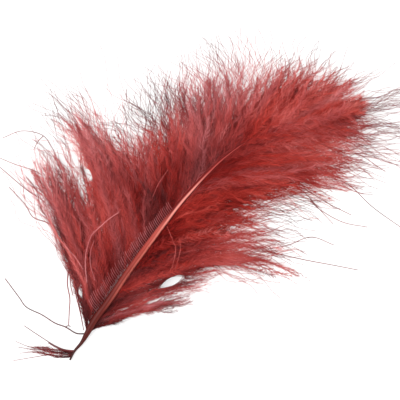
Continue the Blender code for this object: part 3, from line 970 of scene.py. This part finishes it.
def make_bare_roots(rng, material):
    """The comb of pale bare barbs beside the quill, where the down starts a little way out."""
    fibres = Fibres()
    along = np.linspace(0, 1, COMB_STATIONS)
    distance = np.linspace(COMB_FROM, COMB_TO, COMB_COUNT) * MM
    root = quill_at(distance)
    turn = np.radians(COMB_LEAVE + (COMB_ARRIVE - COMB_LEAVE) * along) - LIE
    step = np.stack([np.cos(turn), np.sin(turn)], axis=-1)[1:] / (COMB_STATIONS - 1)
    path = np.concatenate([np.zeros((1, 2)), np.cumsum(step, axis=0)])
    long = COMB_LENGTH * MM * (1 - COMB_SHORTER * np.linspace(0, 1, COMB_COUNT))
    long = long * rng.uniform(*COMB_LENGTHS, COMB_COUNT)
    flat = root[:, None, :2] + path[None] * long[:, None, None]
    flat = flat + (left_of(quill_way(distance)) * (COMB_OUT * root[:, 3])[:, None])[:, None, :]
    climb = COMB_RISE * (COMB_TOP * MM - root[:, 2, None]) * eased(along, COMB_RISE_RUN)[None, :]
    z = root[:, 2, None] + COMB_ABOVE * MM + climb
    none = np.zeros((COMB_COUNT, COMB_STATIONS))
    barbs = {"points": np.concatenate([flat, z[..., None]], axis=-1), "along": along[None, :] + none,
             "share": COMB_SHARE * along[None, :] + none, "beyond": none, "edge": none,
             "tones": COMB_TONE + rng.normal(0, COMB_TONES, COMB_COUNT)[:, None] + none,
             "mauves": 1.0 + none}
    add_stems(fibres, barbs, COMB_RADIUS, (0, COMB_COUNT))
    return settle_piece(fibres.object("bare_roots", material))


def make_strands(rng, material):
    """The single long barbs that leave the down or lie over it."""
    fibres = Fibres()
    for number, (points, height, thickness, length, tone, mauve) in enumerate(STRANDS):
        barbs = strand_barbs(rng, points, height, tone, mauve)
        rows = (number, len(STRANDS))
        add_stems(fibres, barbs, [share * thickness for share in STRAND_TAPER], rows)
        if length:
            add_barbules(fibres, rng, barbs, rows, length=length, **STRAND_BARBULES)
    return settle_piece(fibres.object("single_strands", material))


def add_floor(material):
    """The table, a hair's breadth under the feather."""
    bpy.ops.mesh.primitive_plane_add(size=TABLE_SIZE, location=(*MIDDLE, -TABLE_DROP))
    floor = bpy.context.object
    floor.name = "table"
    floor.data.materials.append(material)


def add_light():
    """Daylight from a window on the picture's left, and the even light of the room."""
    light = bpy.data.lights.new("window", "AREA")
    light.shape = "DISK"
    light.size = WINDOW_SIZE
    light.energy = WINDOW_POWER
    obj = bpy.data.objects.new("window", light)
    bpy.context.scene.collection.objects.link(obj)
    obj.location = WINDOW_PLACE
    towards = Vector((*MIDDLE, 0.0)) - Vector(WINDOW_PLACE)
    obj.rotation_euler = towards.to_track_quat("-Z", "Y").to_euler()
    world = bpy.data.worlds.new("studio")
    bpy.context.scene.world = world
    world.use_nodes = True
    background = world.node_tree.nodes["Background"]
    background.inputs["Color"].default_value = (1.0, 1.0, 1.0, 1.0)
    background.inputs["Strength"].default_value = ROOM_LIGHT


def add_camera():
    """A camera straight above, turned so that the feather slants as in the plan."""
    middle = plan_point(*VIEW_MIDDLE_MM)
    camera = bpy.data.cameras.new("camera")
    camera.sensor_width = SENSOR_MM
    camera.lens = SENSOR_MM * CAMERA_HEIGHT / (VIEW_WIDTH_MM * MM)
    camera.clip_start = CLIP_START
    obj = bpy.data.objects.new("camera", camera)
    bpy.context.scene.collection.objects.link(obj)
    obj.location = (middle[0], middle[1], CAMERA_HEIGHT)
    obj.rotation_euler = (0.0, 0.0, -LIE)
    bpy.context.scene.camera = obj


def main():
    rng = np.random.default_rng(SEED)
    down = down_finish()
    make_quill(quill_finish())
    for name, first, last, layers in FULL_STRETCHES:
        make_vane(name, rng, down, FULL_SIDE, 1, first, last, layers)
    make_vane("curling_hairs", rng, down, FULL_SIDE, 1, 2.0, 14.0, CURLS)
    for name, first, last, layers in LEAN_STRETCHES:
        make_vane(name, rng, down, LEAN_SIDE, -1, first, last, layers)
    make_vane("low_clump", rng, down, LOW_CLUMP, -1, 0.0, len(LOW_CLUMP) - 1.0, CLUMP_LAYERS,
              loft=6.0, settle=3.0, sway=0.9, wild=1.2, strands=2)
    make_vane("tip_brush", rng, down, BRUSH, 1, 0.0, len(BRUSH) - 1.0, BRUSH_LAYERS,
              loft=1.6, settle=1.4, sway=0.3, wild=0.35, wander=0.15, strands=2)
    make_bare_roots(rng, down)
    make_strands(rng, down)
    add_floor(floor_finish())
    add_camera()
    add_light()
    bpy.context.scene.view_settings.view_transform = "Standard"


main()
